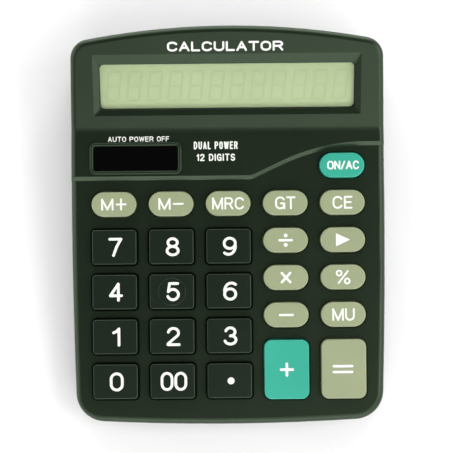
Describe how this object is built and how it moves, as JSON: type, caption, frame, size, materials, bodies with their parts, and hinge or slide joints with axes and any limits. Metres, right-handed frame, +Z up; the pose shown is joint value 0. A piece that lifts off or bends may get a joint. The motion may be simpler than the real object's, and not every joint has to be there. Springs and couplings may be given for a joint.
{
  "type": "desk calculator",
  "caption": "Wedge-shaped desk calculator with a tilted display, a solar window, sprung keys on a rubber mat and a sliding battery door.",
  "frame": {"origin": "middle of the calculator's footprint, on the surface that its feet rest on", "axes": "+X to the user's right, +Y from the user to the display end, +Z up"},
  "size_m": [0.1182, 0.15, 0.0396],
  "materials": {
    "case_plastic": "moulded ABS, dark green-black, fine satin texture",
    "digit_key_plastic": "moulded ABS, near black, satin",
    "grey_key_plastic": "moulded ABS, grey-green, satin",
    "green_key_plastic": "moulded ABS, sea green, satin",
    "clear_window": "clear polished acrylic",
    "lcd_glass": "reflective LCD glass, yellow-green, smooth",
    "white_plastic": "moulded ABS, white",
    "flex_film": "polyimide film, amber, smooth",
    "solar_glass": "amorphous solar cell behind glass, black",
    "silicone": "moulded silicone, pale grey",
    "circuit_board": "solder mask over glass-fibre board, green",
    "epoxy": "cured epoxy, black, glossy",
    "can_aluminium": "drawn aluminium can",
    "screw_steel": "zinc-plated steel",
    "contact_steel": "nickel-plated spring steel",
    "wire_cover": "PVC wire cover",
    "cell_sleeve": "printed steel can",
    "foot_rubber": "moulded rubber, black"
  },
  "bodies": {
    "root": {"upper_case": "case_plastic", "lower_case": "case_plastic", "display_window": "clear_window", "solar_window": "clear_window", "lcd_panel": "lcd_glass", "lcd_frame": "white_plastic", "lcd_ribbon": "flex_film", "solar_cell": "solar_glass", "key_mat": "silicone", "main_board": "circuit_board", "processor_blob": "epoxy", "board_capacitors": "can_aluminium", "board_screws": "screw_steel", "lcd_screws": "screw_steel", "case_screws": "screw_steel", "battery_contact": "contact_steel", "battery_spring": "contact_steel", "battery_wires": "wire_cover", "solar_wires": "wire_cover", "aa_cell": "cell_sleeve", "rubber_feet": "foot_rubber"},
    "door": {"battery_door": "case_plastic"},
    "7_button": {"key_7": "digit_key_plastic"},
    "8_button": {"key_8": "digit_key_plastic"},
    "9_button": {"key_9": "digit_key_plastic"},
    "4_button": {"key_4": "digit_key_plastic"},
    "5_button": {"key_5": "digit_key_plastic"},
    "6_button": {"key_6": "digit_key_plastic"},
    "1_button": {"key_1": "digit_key_plastic"},
    "2_button": {"key_2": "digit_key_plastic"},
    "3_button": {"key_3": "digit_key_plastic"},
    "0_button": {"key_0": "digit_key_plastic"},
    "00_button": {"key_00": "digit_key_plastic"},
    "point_button": {"key_point": "digit_key_plastic"},
    "m_plus_button": {"key_m_plus": "grey_key_plastic"},
    "m_minus_button": {"key_m_minus": "grey_key_plastic"},
    "mrc_button": {"key_mrc": "grey_key_plastic"},
    "gt_button": {"key_gt": "grey_key_plastic"},
    "ce_button": {"key_ce": "grey_key_plastic"},
    "divide_button": {"key_divide": "grey_key_plastic"},
    "backspace_button": {"key_backspace": "grey_key_plastic"},
    "multiply_button": {"key_multiply": "grey_key_plastic"},
    "percent_button": {"key_percent": "grey_key_plastic"},
    "minus_button": {"key_minus": "grey_key_plastic"},
    "mark_up_button": {"key_mark_up": "grey_key_plastic"},
    "equals_button": {"key_equals": "grey_key_plastic"},
    "power_button": {"key_power": "green_key_plastic"},
    "plus_button": {"key_plus": "green_key_plastic"}
  },
  "joints": [
    {"name": "door_slide", "type": "slide", "parent": "root", "child": "door", "axis": [0, 1, 0], "range_m": [0, 0.022]},
    {"name": "7_press", "type": "slide", "parent": "root", "child": "7_button", "axis": [0, 0.1045, -0.9945], "range_m": [0, 0.0012], "stiffness_N_per_m": 300, "springref_m": -0.001, "deforming": ["key_mat"]},
    {"name": "8_press", "type": "slide", "parent": "root", "child": "8_button", "axis": [0, 0.1045, -0.9945], "range_m": [0, 0.0012], "stiffness_N_per_m": 300, "springref_m": -0.001, "deforming": ["key_mat"]},
    {"name": "9_press", "type": "slide", "parent": "root", "child": "9_button", "axis": [0, 0.1045, -0.9945], "range_m": [0, 0.0012], "stiffness_N_per_m": 300, "springref_m": -0.001, "deforming": ["key_mat"]},
    {"name": "4_press", "type": "slide", "parent": "root", "child": "4_button", "axis": [0, 0.1045, -0.9945], "range_m": [0, 0.0012], "stiffness_N_per_m": 300, "springref_m": -0.001, "deforming": ["key_mat"]},
    {"name": "5_press", "type": "slide", "parent": "root", "child": "5_button", "axis": [0, 0.1045, -0.9945], "range_m": [0, 0.0012], "stiffness_N_per_m": 300, "springref_m": -0.001, "deforming": ["key_mat"]},
    {"name": "6_press", "type": "slide", "parent": "root", "child": "6_button", "axis": [0, 0.1045, -0.9945], "range_m": [0, 0.0012], "stiffness_N_per_m": 300, "springref_m": -0.001, "deforming": ["key_mat"]},
    {"name": "1_press", "type": "slide", "parent": "root", "child": "1_button", "axis": [0, 0.1045, -0.9945], "range_m": [0, 0.0012], "stiffness_N_per_m": 300, "springref_m": -0.001, "deforming": ["key_mat"]},
    {"name": "2_press", "type": "slide", "parent": "root", "child": "2_button", "axis": [0, 0.1045, -0.9945], "range_m": [0, 0.0012], "stiffness_N_per_m": 300, "springref_m": -0.001, "deforming": ["key_mat"]},
    {"name": "3_press", "type": "slide", "parent": "root", "child": "3_button", "axis": [0, 0.1045, -0.9945], "range_m": [0, 0.0012], "stiffness_N_per_m": 300, "springref_m": -0.001, "deforming": ["key_mat"]},
    {"name": "0_press", "type": "slide", "parent": "root", "child": "0_button", "axis": [0, 0.1045, -0.9945], "range_m": [0, 0.0012], "stiffness_N_per_m": 300, "springref_m": -0.001, "deforming": ["key_mat"]},
    {"name": "00_press", "type": "slide", "parent": "root", "child": "00_button", "axis": [0, 0.1045, -0.9945], "range_m": [0, 0.0012], "stiffness_N_per_m": 300, "springref_m": -0.001, "deforming": ["key_mat"]},
    {"name": "point_press", "type": "slide", "parent": "root", "child": "point_button", "axis": [0, 0.1045, -0.9945], "range_m": [0, 0.0012], "stiffness_N_per_m": 300, "springref_m": -0.001, "deforming": ["key_mat"]},
    {"name": "m_plus_press", "type": "slide", "parent": "root", "child": "m_plus_button", "axis": [0, 0.1045, -0.9945], "range_m": [0, 0.0012], "stiffness_N_per_m": 300, "springref_m": -0.001, "deforming": ["key_mat"]},
    {"name": "m_minus_press", "type": "slide", "parent": "root", "child": "m_minus_button", "axis": [0, 0.1045, -0.9945], "range_m": [0, 0.0012], "stiffness_N_per_m": 300, "springref_m": -0.001, "deforming": ["key_mat"]},
    {"name": "mrc_press", "type": "slide", "parent": "root", "child": "mrc_button", "axis": [0, 0.1045, -0.9945], "range_m": [0, 0.0012], "stiffness_N_per_m": 300, "springref_m": -0.001, "deforming": ["key_mat"]},
    {"name": "gt_press", "type": "slide", "parent": "root", "child": "gt_button", "axis": [0, 0.1045, -0.9945], "range_m": [0, 0.0012], "stiffness_N_per_m": 300, "springref_m": -0.001, "deforming": ["key_mat"]},
    {"name": "ce_press", "type": "slide", "parent": "root", "child": "ce_button", "axis": [0, 0.1045, -0.9945], "range_m": [0, 0.0012], "stiffness_N_per_m": 300, "springref_m": -0.001, "deforming": ["key_mat"]},
    {"name": "divide_press", "type": "slide", "parent": "root", "child": "divide_button", "axis": [0, 0.1045, -0.9945], "range_m": [0, 0.0012], "stiffness_N_per_m": 300, "springref_m": -0.001, "deforming": ["key_mat"]},
    {"name": "backspace_press", "type": "slide", "parent": "root", "child": "backspace_button", "axis": [0, 0.1045, -0.9945], "range_m": [0, 0.0012], "stiffness_N_per_m": 300, "springref_m": -0.001, "deforming": ["key_mat"]},
    {"name": "multiply_press", "type": "slide", "parent": "root", "child": "multiply_button", "axis": [0, 0.1045, -0.9945], "range_m": [0, 0.0012], "stiffness_N_per_m": 300, "springref_m": -0.001, "deforming": ["key_mat"]},
    {"name": "percent_press", "type": "slide", "parent": "root", "child": "percent_button", "axis": [0, 0.1045, -0.9945], "range_m": [0, 0.0012], "stiffness_N_per_m": 300, "springref_m": -0.001, "deforming": ["key_mat"]},
    {"name": "minus_press", "type": "slide", "parent": "root", "child": "minus_button", "axis": [0, 0.1045, -0.9945], "range_m": [0, 0.0012], "stiffness_N_per_m": 300, "springref_m": -0.001, "deforming": ["key_mat"]},
    {"name": "mark_up_press", "type": "slide", "parent": "root", "child": "mark_up_button", "axis": [0, 0.1045, -0.9945], "range_m": [0, 0.0012], "stiffness_N_per_m": 300, "springref_m": -0.001, "deforming": ["key_mat"]},
    {"name": "equals_press", "type": "slide", "parent": "root", "child": "equals_button", "axis": [0, 0.1045, -0.9945], "range_m": [0, 0.0012], "stiffness_N_per_m": 300, "springref_m": -0.001, "deforming": ["key_mat"]},
    {"name": "power_press", "type": "slide", "parent": "root", "child": "power_button", "axis": [0, 0.1045, -0.9945], "range_m": [0, 0.0012], "stiffness_N_per_m": 300, "springref_m": -0.001, "deforming": ["key_mat"]},
    {"name": "plus_press", "type": "slide", "parent": "root", "child": "plus_button", "axis": [0, 0.1045, -0.9945], "range_m": [0, 0.0012], "stiffness_N_per_m": 300, "springref_m": -0.001, "deforming": ["key_mat"]}
  ]
}
